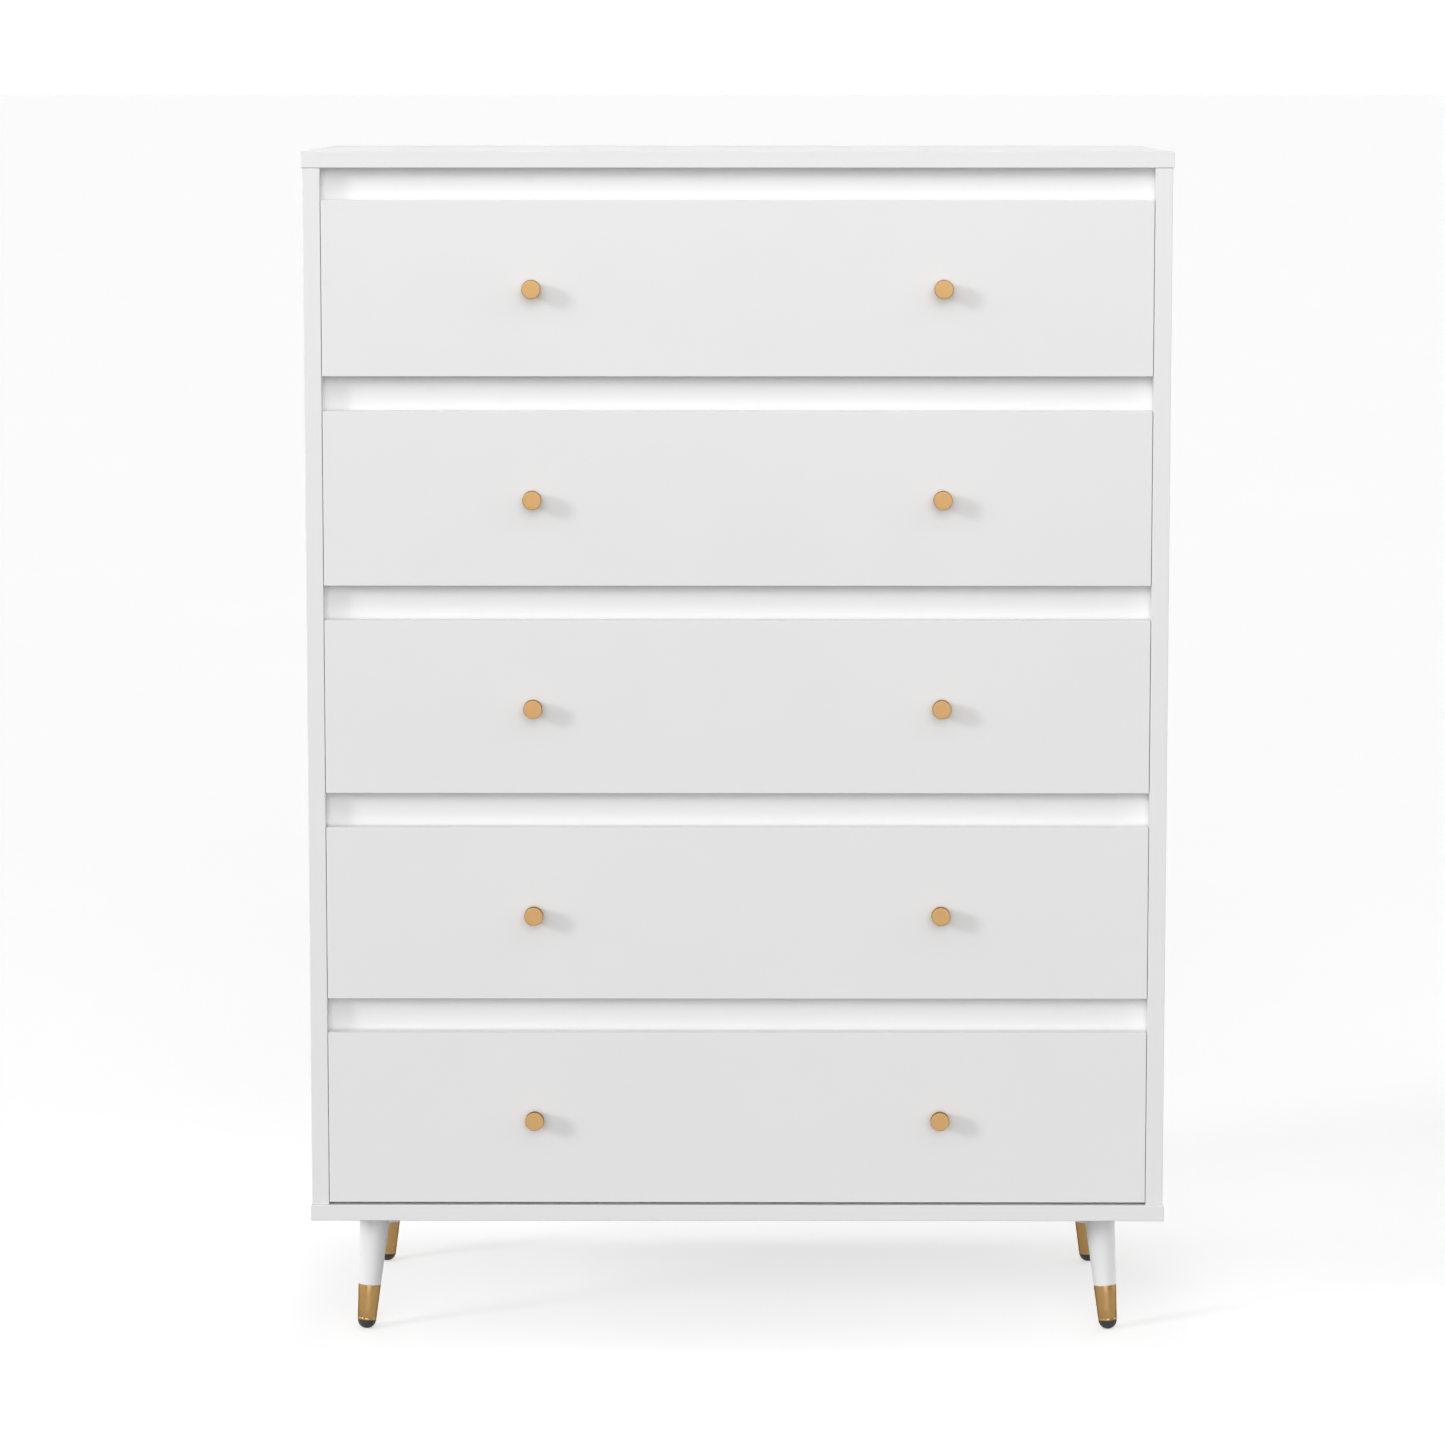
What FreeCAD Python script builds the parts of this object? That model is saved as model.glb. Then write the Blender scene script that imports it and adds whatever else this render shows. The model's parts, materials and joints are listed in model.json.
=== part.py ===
import FreeCAD, Part
import math
import os
import re
import Sketcher

# A tall chest of five drawers: a white board carcass on four splayed legs, with brass knobs.
# The frame is +X to the right and +Z up, seen from the front, and the front faces -Y.
# The origin is on the floor, under the middle of the whole object. Millimetres.

DRAWERS = 5

DIMENSIONS = {
    # carcass
    "panel_width": 800.0,        # top and bottom panels, left to right
    "panel_depth": 400.0,        # top and bottom panels, front to rear
    "board": 15.0,               # thickness of the panels, rails and drawer fronts
    "side_board": 16.0,          # thickness of the side panels
    "reveal": 1.2,               # the top and bottom panels stand proud of sides and fronts
    "edge_radius": 0.8,          # eased edges of the boards
    "back_sheet": 3.0,           # thickness of the back panel
    "back_inset": 12.0,          # from the rear edge to the back panel
    "groove": 6.0,               # how deep the back panel and the drawer bottoms sit in grooves
    # drawer fronts and the recessed rails between them
    "front_height": 161.5,
    "recess": 32.0,              # open height between two drawer fronts
    "top_recess": 29.5,          # open height above the highest front
    "bottom_gap": 2.5,           # below the lowest front
    "side_gap": 0.5,             # beside the fronts
    "rail_setback": 17.0,        # from the drawer faces back to the rails
    "rail_overlap": 9.0,         # how far a rail reaches behind the fronts above and below it
    # drawer boxes
    "box_board": 12.0,           # thickness of the drawer sides and backs
    "box_height": 120.0,
    "box_length": 355.0,
    "box_rise": 16.0,            # from a front's lower edge to the lower edge of its box
    "bottom_sheet": 3.0,         # thickness of the drawer bottoms
    "bottom_rise": 10.0,         # from the lower edge of the box to the drawer bottom
    # telescopic slides, three nested channels on each side of a drawer
    "slide_space": 13.0,         # between a side panel and a drawer side
    "slide_length": 350.0,
    "slide_front": 17.0,         # from the drawer faces back to the slides
    "slide_steel": 1.2,          # sheet thickness
    "slide_lip": 1.6,            # inward lip along each rim of a channel
    "outer_height": 45.0,
    "middle_height": 38.2,
    "inner_height": 31.4,
    "outer_depth": 11.0,
    "middle_depth": 9.3,
    "inner_depth": 8.5,
    "middle_offset": 2.0,        # from the side panel to the middle channel
    # knobs and their screws
    "knob_spacing": 378.0,       # between the two knobs of a drawer
    "knob_diameter": 17.6,
    "knob_base": 12.0,           # diameter where the knob meets the drawer face
    "knob_rim": 6.0,             # length of the straight rim at the knob's face
    "knob_projection": 20.0,
    "knob_edge": 1.0,            # rounding of the rim
    "knob_screw": 4.0,           # diameter of the machine screw
    "knob_thread": 9.0,          # how far the screw reaches into the knob
    "knob_screw_head": 8.0,
    "knob_screw_cap": 2.4,       # thickness of the screw's head
    # legs, ferrules and feet; lengths run along each leg's axis
    "leg_height": 116.0,         # clear height under the bottom panel
    "leg_inset_x": 56.4,         # from the panel's side edge to the leg's centre, at the top
    "leg_inset_y": 65.0,         # from the panel's front or rear edge to the leg's centre, at the top
    "leg_splay": 0.08,           # lean per unit of height, both outwards and towards front or rear
    "leg_tip_radius": 8.3,       # of the cone, where the axis meets the floor
    "leg_top_radius": 14.8,      # of the cone, at the clear height
    "ferrule_start": 8.4,
    "ferrule_end": 42.2,
    "ferrule_wall": 1.0,
    "foot_stem": 6.0,            # how far the foot reaches up into the ferrule
    "plate_size": 60.0,
    "plate_thickness": 3.0,
    "plate_screw_spacing": 46.0,
    "plate_hole": 9.4,           # lets the tilted leg bolt through
    "leg_bolt": 8.0,
    "leg_bolt_low": 84.0,
    "leg_bolt_high": 122.0,
    "bolt_relief": 14.0,         # diameter of the relief above each leg bolt
    "bolt_relief_depth": 9.0,
    # fasteners
    "clearance": 0.2,            # added to a hole's radius around a fastener
    "cam_diameter": 15.0,
    "cam_depth": 12.0,
    "cam_distance": 24.0,        # from a board's end to the middle of its cam lock
    "cam_bolt": 6.0,
    "cam_bolt_reach": 10.0,      # how far a cam bolt goes into the board it pulls on
    "corner_y": 60.0,            # from the panel's front and rear edges to the corner fasteners
    "screw_shank": 7.0,          # confirmat screws up through the bottom panel
    "screw_head": 10.0,
    "screw_head_depth": 3.0,
    "screw_length": 50.0,
    "wood_screw": 4.0,           # leg plate and bracket screws
    "wood_screw_head": 7.0,
    "wood_screw_cap": 1.5,
    "wood_screw_length": 12.0,   # how far they go into the board
    # anti-tip brackets behind the back panel
    "bracket_width": 30.0,
    "bracket_drop": 32.0,
    "bracket_reach": 11.0,
    "bracket_steel": 2.0,
    "bracket_margin": 0.5,       # keeps the bracket inside the rear plane
    "bracket_spacing": 560.0,
    "bracket_eye": 6.0,          # hole for a wall strap
    "bracket_eye_drop": 20.0,    # from the top panel down to the hole
    "bracket_screw_x": 8.0,      # from the bracket's middle to each of its two screws
}

# Places worked out from the sheet, as formulas.
FRONT = "((knob_projection - reveal - panel_depth) / 2)"     # front edge of the top panel
FACE = f"({FRONT} + reveal)"                                 # faces of the drawers and sides
REAR = f"({FRONT} + panel_depth)"
INNER = "(panel_width / 2 - reveal - side_board)"            # half the space between the sides
FLOOR = "(leg_height + board)"                               # upper face of the bottom panel
CLEAR = f"(top_recess + {DRAWERS} * front_height + {DRAWERS - 1} * recess + bottom_gap)"
CEILING = f"({FLOOR} + {CLEAR})"                             # lower face of the top panel
BOX = f"({INNER} - slide_space)"                             # half the width of a drawer box
BOX_INNER = f"({BOX} - box_board)"
BOX_FRONT = f"({FACE} + board)"                              # rear face of a drawer front
BACK_FRONT = f"({REAR} - back_inset - back_sheet)"           # front face of the back panel

doc = FreeCAD.newDocument("tall_chest_of_drawers")
sheet = doc.addObject("Spreadsheet::Sheet", "Dimensions")
for row, (alias, number) in enumerate(DIMENSIONS.items(), start=1):
    sheet.set(f"A{row}", str(number))
    sheet.setAlias(f"A{row}", alias)
doc.recompute()

nodes = []


def formula(text):
    """Point every dimension named in a formula at its cell on the sheet."""
    return re.sub(r"[a-z][a-z_]+", lambda word: f"Dimensions.{word.group()}", text)


def bind(item, name, text):
    item.setExpression(name, formula(text))


def place(item, at):
    """Keep an object's origin at three formulas."""
    for axis, text in zip("xyz", at):
        bind(item, f".Placement.Base.{axis}", text)


def keep(item, label):
    """Name an object as one of the sub-parts that are written out."""
    item.Label = label
    nodes.append(item)
    return item


# ---------------------------------------------------------------- sketches and bodies

def new_body(at=("0", "0", "0")):
    body = doc.addObject("PartDesign::Body", "Body")
    place(body, at)
    return body


def new_sketch(body, plane, level):
    """A sketch on one of the body's own planes, moved along its normal to a level."""
    sketch = body.newObject("Sketcher::SketchObject", "Sketch")
    support = [item for item in body.Origin.OriginFeatures if item.Role == plane][0]
    sketch.AttachmentSupport = (support, "")
    sketch.MapMode = "FlatFace"
    bind(sketch, ".AttachmentOffset.Base.z", level)
    return sketch


def pin_point(sketch, geometry, point, x, y):
    """Hold a sketch point at two formulas, counted from the sketch's origin."""
    for kind, text in (("DistanceX", x), ("DistanceY", y)):
        index = sketch.addConstraint(Sketcher.Constraint(kind, -1, 1, geometry, point, 1.0))
        name = f"{kind}{geometry}"
        sketch.renameConstraint(index, name)
        bind(sketch, f"Constraints.{name}", text)


def outline(body, plane, level, points):
    """A closed outline of straight lines through points given as formulas."""
    sketch = new_sketch(body, plane, level)
    count = len(points)
    turn = 2 * math.pi / count
    corners = [FreeCAD.Vector(math.cos(n * turn), math.sin(n * turn), 0) for n in range(count)]
    for n in range(count):
        sketch.addGeometry(Part.LineSegment(corners[n], corners[(n + 1) % count]))
    for n in range(count):
        sketch.addConstraint(Sketcher.Constraint("Coincident", n, 2, (n + 1) % count, 1))
    for n, (x, y) in enumerate(points):
        pin_point(sketch, n, 1, x, y)
    return sketch


def rectangle(low, size):
    (x, y), (width, height) = low, size
    right, top = f"{x} + {width}", f"{y} + {height}"
    return [(x, y), (right, y), (right, top), (x, top)]


def circles(body, plane, level, centres, diameter):
    sketch = new_sketch(body, plane, level)
    for n, (x, y) in enumerate(centres):
        sketch.addGeometry(Part.Circle(FreeCAD.Vector(n, n, 0), FreeCAD.Vector(0, 0, 1), 1.0))
        pin_point(sketch, n, 3, x, y)
        index = sketch.addConstraint(Sketcher.Constraint("Diameter", n, 1.0))
        sketch.renameConstraint(index, f"Diameter{n}")
        bind(sketch, f"Constraints.Diameter{n}", diameter)
    return sketch


def pad(body, sketch, length):
    feature = body.newObject("PartDesign::Pad", "Pad")
    feature.Profile = sketch
    bind(feature, "Length", length)
    return feature


def pocket(body, sketch, depth, along_normal):
    feature = body.newObject("PartDesign::Pocket", "Pocket")
    feature.Profile = sketch
    feature.Reversed = along_normal
    bind(feature, "Length", depth)
    return feature


def turned(plane, points, at=("0", "0", "0")):
    """A solid of revolution about the sketch's vertical axis, from (radius, distance) points."""
    body = new_body(at)
    revolution = body.newObject("PartDesign::Revolution", "Revolution")
    revolution.Profile = outline(body, plane, "0", points)
    revolution.ReferenceAxis = (revolution.Profile[0], ["V_Axis"])
    revolution.Angle = 360
    return body


class Board:
    """A rectangular board. Its own frame starts at its left, front, lower corner."""

    def __init__(self, size, at, eased=True):
        width, depth, height = size
        self.body = new_body(at)
        # each face: its plane, its level along that plane's normal, and which way a cut goes in
        self.faces = {
            "top": ("XY_Plane", height, False),
            "bottom": ("XY_Plane", "0", True),
            "front": ("XZ_Plane", "0", False),
            "rear": ("XZ_Plane", f"-({depth})", True),
            "right": ("YZ_Plane", width, False),
            "left": ("YZ_Plane", "0", True),
        }
        plan = outline(self.body, "XY_Plane", "0", rectangle(("0", "0"), (width, depth)))
        block = pad(self.body, plan, height)
        if eased:
            easing = self.body.newObject("PartDesign::Fillet", "EasedEdges")
            easing.Base = (block, [f"Edge{n}" for n in range(1, 13)])
            bind(easing, "Radius", "edge_radius")

    def slot(self, face, low, size, depth):
        plane, level, along_normal = self.faces[face]
        sketch = outline(self.body, plane, level, rectangle(low, size))
        pocket(self.body, sketch, depth, along_normal)

    def drill(self, face, centres, diameter, depth):
        plane, level, along_normal = self.faces[face]
        sketch = circles(self.body, plane, level, centres, diameter)
        pocket(self.body, sketch, depth, along_normal)


# ---------------------------------------------------------------- loose solids and groups

UP = FreeCAD.Rotation()
DOWN = FreeCAD.Rotation(FreeCAD.Vector(1, 0, 0), 180)
REARWARD = FreeCAD.Rotation(FreeCAD.Vector(1, 0, 0), -90)
RIGHTWARD = FreeCAD.Rotation(FreeCAD.Vector(0, 1, 0), 90)


def rod(diameter, length, at, way):
    """A cylinder that starts at a point and runs a given way."""
    item = doc.addObject("Part::Cylinder", "Rod")
    bind(item, "Radius", f"{diameter} / 2")
    bind(item, "Height", length)
    item.Placement = FreeCAD.Placement(FreeCAD.Vector(), way)
    place(item, at)
    return item


def fused(*items):
    item = doc.addObject("Part::MultiFuse", "Fused")
    item.Shapes = list(items)
    return item


def group(items):
    """Several separate solids as one object."""
    item = doc.addObject("Part::Compound", "Group")
    item.Links = list(items)
    return item


def mirrored(item):
    """The same object on the other side of the chest's middle."""
    copy = doc.addObject("Part::Mirroring", "Mirrored")
    copy.Source = item
    copy.Normal = FreeCAD.Vector(1, 0, 0)
    return copy


def both_sides(items):
    return items + [mirrored(item) for item in items]


# ---------------------------------------------------------------- heights of the drawers

def front_base(number):
    """Lower edge of a drawer front. Drawer 1 is the highest."""
    return f"({FLOOR} + bottom_gap + {DRAWERS - number} * (front_height + recess))"


def slide_middle_height(number):
    """Middle of a drawer's slides."""
    return f"({front_base(number)} + box_rise + box_height / 2)"


def rail_size(number):
    """Lower edge and height of the rail above a drawer."""
    low = f"({front_base(number)} + front_height - rail_overlap)"
    if number == 1:
        return low, "(top_recess + rail_overlap)"
    return low, "(recess + 2 * rail_overlap)"


# ---------------------------------------------------------------- carcass

CORNER_YS = ("corner_y", "(panel_depth - corner_y)")
LEG_XS = ("leg_inset_x", "(panel_width - leg_inset_x)")
LEG_YS = ("leg_inset_y", "(panel_depth - leg_inset_y)")
SIDE_MIDDLES = ("(reveal + side_board / 2)", "(panel_width - reveal - side_board / 2)")
BACK_GROOVE_Y = f"({BACK_FRONT} - {FRONT})"
CAM_BOLT_HOLE = "(cam_bolt + 2 * clearance)"
WOOD_SCREW_HOLE = "(wood_screw + 2 * clearance)"
SCREW_HOLE = "(screw_shank + 2 * clearance)"


def long_panel(base):
    """The top or the bottom panel, before its holes."""
    return Board(("panel_width", "panel_depth", "board"), ("-panel_width / 2", FRONT, base))


def back_groove_across(panel, face):
    low = (f"(panel_width / 2 - {INNER} - groove)", BACK_GROOVE_Y)
    panel.slot(face, low, (f"(2 * ({INNER} + groove))", "back_sheet"), "groove")


def bracket_screw_centres():
    """Bracket screws, counted from the top panel's left front corner."""
    y = "(panel_depth - bracket_margin - bracket_reach / 2 - bracket_steel / 2)"
    return [(f"(panel_width / 2 + {side} * bracket_spacing / 2 + {screw} * bracket_screw_x)", y)
            for side in (-1, 1) for screw in (-1, 1)]


def make_top_panel():
    panel = long_panel(CEILING)
    back_groove_across(panel, "bottom")
    bolts = [(x, y) for x in SIDE_MIDDLES for y in CORNER_YS]
    panel.drill("bottom", bolts, CAM_BOLT_HOLE, "cam_bolt_reach")
    panel.drill("bottom", bracket_screw_centres(), WOOD_SCREW_HOLE, "wood_screw_length")
    keep(panel.body, "top_panel")


def plate_screw_centres():
    """Leg plate screws, counted from the bottom panel's left front corner."""
    return [(f"({x} + {across} * plate_screw_spacing / 2)", f"({y} + {along} * plate_screw_spacing / 2)")
            for x in LEG_XS for y in LEG_YS for across in (-1, 1) for along in (-1, 1)]


def make_bottom_panel():
    panel = long_panel("leg_height")
    back_groove_across(panel, "top")
    screws = [(x, y) for x in SIDE_MIDDLES for y in CORNER_YS]
    panel.drill("bottom", screws, SCREW_HOLE, "board")
    panel.drill("bottom", screws, "(screw_head + 2 * clearance)", "screw_head_depth")
    panel.drill("bottom", [(x, y) for x in LEG_XS for y in LEG_YS], "bolt_relief", "bolt_relief_depth")
    panel.drill("bottom", plate_screw_centres(), WOOD_SCREW_HOLE, "wood_screw_length")
    keep(panel.body, "bottom_panel")


def make_side_panel(label, x, inner_face):
    """A side panel, with its back groove and the holes for its cam locks, bolts and screws."""
    panel = Board(("side_board", "panel_depth - reveal", CLEAR), (x, FACE, FLOOR))
    groove_y = f"({BACK_FRONT} - {FACE})"
    panel.slot(inner_face, (groove_y, "0"), ("back_sheet", CLEAR), "groove")
    ys = [f"({y} - reveal)" for y in CORNER_YS]
    panel.drill(inner_face, [(y, f"({CLEAR} - cam_distance)") for y in ys],
                "(cam_diameter + 2 * clearance)", "cam_depth")
    middles = [("side_board / 2", y) for y in ys]
    panel.drill("top", middles, CAM_BOLT_HOLE, "(cam_distance - cam_diameter / 2)")
    panel.drill("bottom", middles, SCREW_HOLE, "(screw_length - board)")
    rails = [rail_size(number) for number in range(1, DRAWERS + 1)]
    bolt_zs = [f"({low} + {height} / 2 - {FLOOR})" for low, height in rails]
    panel.drill(inner_face, [("(rail_setback + board / 2)", z) for z in bolt_zs],
                CAM_BOLT_HOLE, "cam_bolt_reach")
    keep(panel.body, label)


def make_rail(number):
    """The recessed board above a drawer. A cam lock near each end pulls it to the sides."""
    low, height = rail_size(number)
    width = f"(2 * {INNER})"
    at = (f"-{INNER}", f"{FACE} + rail_setback", low)
    rail = Board((width, "board", height), at, eased=False)
    cams = [(x, f"({height} / 2)") for x in ("cam_distance", f"({width} - cam_distance)")]
    rail.drill("rear", cams, "(cam_diameter + 2 * clearance)", "cam_depth")
    for end in ("left", "right"):
        bolt = [("board / 2", f"({height} / 2)")]
        rail.drill(end, bolt, CAM_BOLT_HOLE, "(cam_distance - cam_diameter / 2)")
    keep(rail.body, f"front_rail_{number}")


def make_back_panel():
    size = (f"(2 * ({INNER} + groove))", "back_sheet", f"({CLEAR} + 2 * groove)")
    back = Board(size, (f"-({INNER} + groove)", BACK_FRONT, f"{FLOOR} - groove"), eased=False)
    keep(back.body, "back_panel")


def make_anti_tip_brackets():
    """Two steel angles under the top panel, behind the back, each with an eye for a wall strap."""
    brackets = []
    for side in (-1, 1):
        at = (f"{side} * bracket_spacing / 2 - bracket_width / 2", f"{REAR} - bracket_margin", CEILING)
        body = new_body(at)
        points = [("0", "0"), ("0", "-bracket_drop"), ("-bracket_steel", "-bracket_drop"),
                  ("-bracket_steel", "-bracket_steel"), ("-bracket_reach", "-bracket_steel"),
                  ("-bracket_reach", "0")]
        pad(body, outline(body, "YZ_Plane", "0", points), "bracket_width")
        eye = circles(body, "XZ_Plane", "0", [("bracket_width / 2", "-bracket_eye_drop")], "bracket_eye")
        pocket(body, eye, "bracket_steel", True)
        screw_y = "(-bracket_reach / 2 - bracket_steel / 2)"
        screws = [(f"(bracket_width / 2 + {screw} * bracket_screw_x)", screw_y) for screw in (-1, 1)]
        holes = circles(body, "XY_Plane", "0", screws, WOOD_SCREW_HOLE)
        pocket(body, holes, "bracket_steel", False)
        brackets.append(body)
    keep(group(brackets), "anti_tip_brackets")


# ---------------------------------------------------------------- legs

def leg_corners():
    """Each leg's name, and the way it leans: +1 is right or rear."""
    for end, lean_y in (("front", -1), ("rear", 1)):
        for side, lean_x in (("left", -1), ("right", 1)):
            yield f"leg_{end}_{side}", lean_x, lean_y


def stand_on_axis(item, lean_x, lean_y, distance="0"):
    """Set an object upright on a leg's axis, a distance up from where the axis meets the floor."""
    splay = sheet.get("leg_splay")
    upward = FreeCAD.Vector(-lean_x * splay, -lean_y * splay, 1)
    tilt = FreeCAD.Rotation(FreeCAD.Vector(0, 0, 1), upward)
    item.Placement = FreeCAD.Placement(FreeCAD.Vector(), tilt)
    shift = f"{distance} / sqrt(1 + 2 * leg_splay ^ 2)"
    x = f"{lean_x} * (panel_width / 2 - leg_inset_x + leg_splay * (leg_height - {shift}))"
    middle = f"({FRONT} + panel_depth / 2)"
    y = f"{middle} + {lean_y} * (panel_depth / 2 - leg_inset_y + leg_splay * (leg_height - {shift}))"
    for axis, text in zip("xyz", (x, y, shift)):
        item.setExpression(f".Placement.Base.{axis}", formula(text).replace("Dimensions.sqrt", "sqrt"))
    return item


def cone_radius(distance):
    """Radius of a leg's outer cone, a distance along its axis."""
    return f"(leg_tip_radius + (leg_top_radius - leg_tip_radius) * {distance} / leg_height)"


def make_leg(label, lean_x, lean_y, standing_room):
    """A turned leg with a spigot for its ferrule, sawn level under its plate."""
    past_top = "(leg_height + leg_top_radius)"
    spigot_low = "(ferrule_start + foot_stem + clearance)"
    bore = "(leg_bolt / 2 + clearance)"
    points = [
        ("0", spigot_low),
        (f"{cone_radius(spigot_low)} - ferrule_wall - clearance", spigot_low),
        (f"{cone_radius('ferrule_end')} - ferrule_wall - clearance", "ferrule_end"),
        (cone_radius("ferrule_end"), "ferrule_end"),
        (cone_radius(past_top), past_top),
        (bore, past_top),
        (bore, "leg_bolt_low"),
        ("0", "leg_bolt_low"),
    ]
    body = stand_on_axis(turned("XZ_Plane", points), lean_x, lean_y)
    leg = doc.addObject("Part::Common", "Leg")
    leg.Base = body
    leg.Tool = standing_room
    keep(leg, label)


def make_ferrule(lean_x, lean_y):
    """A thin brass cone, flush with the leg above it."""
    low, high = cone_radius("ferrule_start"), cone_radius("ferrule_end")
    points = [(f"{low} - ferrule_wall", "ferrule_start"), (low, "ferrule_start"),
              (high, "ferrule_end"), (f"{high} - ferrule_wall", "ferrule_end")]
    return stand_on_axis(turned("XZ_Plane", points), lean_x, lean_y)


def make_foot(lean_x, lean_y, standing_room):
    """A half ball with a stem inside the ferrule, worn flat where it meets the floor."""
    radius = cone_radius("ferrule_start")
    dome = doc.addObject("Part::Sphere", "Dome")
    bind(dome, "Radius", radius)
    dome.Angle2 = 0
    stand_on_axis(dome, lean_x, lean_y, "ferrule_start")
    stem = rod(f"(2 * ({radius} - ferrule_wall - clearance))", "foot_stem", ("0", "0", "0"), UP)
    stand_on_axis(stem, lean_x, lean_y, "ferrule_start")
    foot = doc.addObject("Part::Common", "Foot")
    foot.Base = fused(dome, stem)
    foot.Tool = standing_room
    return foot


def make_leg_plate(lean_x, lean_y):
    """A steel plate between a leg and the bottom panel."""
    half = "plate_size / 2"
    corner = (f"{lean_x} * (panel_width / 2 - leg_inset_x) - {half}",
              f"{FRONT} + panel_depth / 2 + {lean_y} * (panel_depth / 2 - leg_inset_y) - {half}",
              "leg_height - plate_thickness")
    plate = Board(("plate_size", "plate_size", "plate_thickness"), corner, eased=False)
    plate.drill("bottom", [(half, half)], "plate_hole", "plate_thickness")
    screws = [(f"({half} + {x} * plate_screw_spacing / 2)", f"({half} + {y} * plate_screw_spacing / 2)")
              for x in (-1, 1) for y in (-1, 1)]
    plate.drill("bottom", screws, WOOD_SCREW_HOLE, "plate_thickness")
    return plate.body


def make_legs():
    """Four legs with their ferrules, feet and plates."""
    standing_room = doc.addObject("Part::Box", "StandingRoom")
    bind(standing_room, "Length", "panel_width")
    bind(standing_room, "Width", "panel_depth")
    bind(standing_room, "Height", "leg_height - plate_thickness")
    place(standing_room, ("-panel_width / 2", FRONT, "0"))
    ferrules, feet, plates = [], [], []
    for label, lean_x, lean_y in leg_corners():
        make_leg(label, lean_x, lean_y, standing_room)
        ferrules.append(make_ferrule(lean_x, lean_y))
        feet.append(make_foot(lean_x, lean_y, standing_room))
        plates.append(make_leg_plate(lean_x, lean_y))
    keep(group(ferrules), "leg_ferrules")
    keep(group(feet), "leg_feet")
    keep(group(plates), "leg_plates")


# ---------------------------------------------------------------- carcass fasteners

def wood_screw(at, plate):
    """A pan head screw driven up through a steel plate into the board above it."""
    x, y, z = at
    shank = rod("wood_screw", f"{plate} + wood_screw_length - clearance", (x, y, f"{z} - {plate}"), UP)
    head = rod("wood_screw_head", "wood_screw_cap", (x, y, f"{z} - {plate}"), DOWN)
    return fused(shank, head)


def rail_fasteners(number):
    """The right-hand cam lock and bolt of a rail."""
    low, height = rail_size(number)
    z = f"{low} + {height} / 2"
    rear = f"{FACE} + rail_setback + board"
    cam_at = (f"{INNER} - cam_distance", f"{rear} - cam_depth", z)
    cam = rod("cam_diameter", "cam_depth", cam_at, REARWARD)
    start = f"{INNER} - cam_distance + cam_diameter / 2 + clearance"
    length = "cam_distance - cam_diameter / 2 + cam_bolt_reach - 2 * clearance"
    bolt = rod("cam_bolt", length, (start, f"{rear} - board / 2", z), RIGHTWARD)
    return [cam, bolt]


def corner_fasteners(y):
    """The right-hand cam lock and bolt under the top panel, and the screw through the bottom one."""
    middle = f"{INNER} + side_board / 2"
    cam_z = f"{CEILING} - cam_distance"
    cam = rod("cam_diameter", "cam_depth", (INNER, y, cam_z), RIGHTWARD)
    start = f"{cam_z} + cam_diameter / 2 + clearance"
    length = "cam_distance - cam_diameter / 2 + cam_bolt_reach - 2 * clearance"
    bolt = rod("cam_bolt", length, (middle, y, start), UP)
    shank = rod("screw_shank", "screw_length - clearance", (middle, y, "leg_height"), UP)
    head = rod("screw_head", "screw_head_depth", (middle, y, "leg_height"), UP)
    return [cam, bolt, fused(shank, head)]


def make_carcass_fasteners():
    right = []
    for number in range(1, DRAWERS + 1):
        right += rail_fasteners(number)
    for y in CORNER_YS:
        right += corner_fasteners(f"{FRONT} + {y}")
    items = both_sides(right)
    for x, y in plate_screw_centres():
        at = (f"{x} - panel_width / 2", f"{y} + {FRONT}", "leg_height")
        items.append(wood_screw(at, "plate_thickness"))
    for x, y in bracket_screw_centres():
        at = (f"{x} - panel_width / 2", f"{y} + {FRONT}", CEILING)
        items.append(wood_screw(at, "bracket_steel"))
    for label, lean_x, lean_y in leg_corners():
        bolt = rod("leg_bolt", "leg_bolt_high - leg_bolt_low", ("0", "0", "0"), UP)
        items.append(stand_on_axis(bolt, lean_x, lean_y, "leg_bolt_low"))
    keep(group(items), "carcass_fasteners")


# ---------------------------------------------------------------- slides

def channel(depth, height, left, middle_z, mouth):
    """A steel channel along Y with lipped rims, open to the left or to the right."""
    low = f"{middle_z} - {height} / 2"
    item = Board((depth, "slide_length", height), (left, f"{FACE} + slide_front", low), eased=False)
    cavity = (f"{depth} - 2 * slide_steel", f"{height} - 2 * slide_steel")
    item.slot("front", ("slide_steel", "slide_steel"), cavity, "slide_length")
    mouth_x = "0" if mouth == "left" else f"{depth} - slide_steel"
    rim = "(slide_steel + slide_lip)"
    item.slot("front", (mouth_x, rim), ("slide_steel", f"{height} - 2 * {rim}"), "slide_length")
    return item.body


def make_slides():
    """Outer channels on the side panels, middle ones between, inner ones on the drawer sides."""
    outers = []
    for number in range(1, DRAWERS + 1):
        z = slide_middle_height(number)
        outer_x = f"{INNER} - outer_depth"
        outers += both_sides([channel("outer_depth", "outer_height", outer_x, z, "left")])
        middle_x = f"{INNER} - middle_offset - middle_depth"
        middles = both_sides([channel("middle_depth", "middle_height", middle_x, z, "left")])
        keep(group(middles), f"drawer_{number}_slide_middle")
        inners = both_sides([channel("inner_depth", "inner_height", BOX, z, "right")])
        keep(group(inners), f"drawer_{number}_slide_inner")
    keep(group(outers), "slide_outer_members")


# ---------------------------------------------------------------- drawers

def bottom_height(number):
    """Lower face of a drawer's bottom sheet."""
    return f"({front_base(number)} + box_rise + bottom_rise)"


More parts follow.
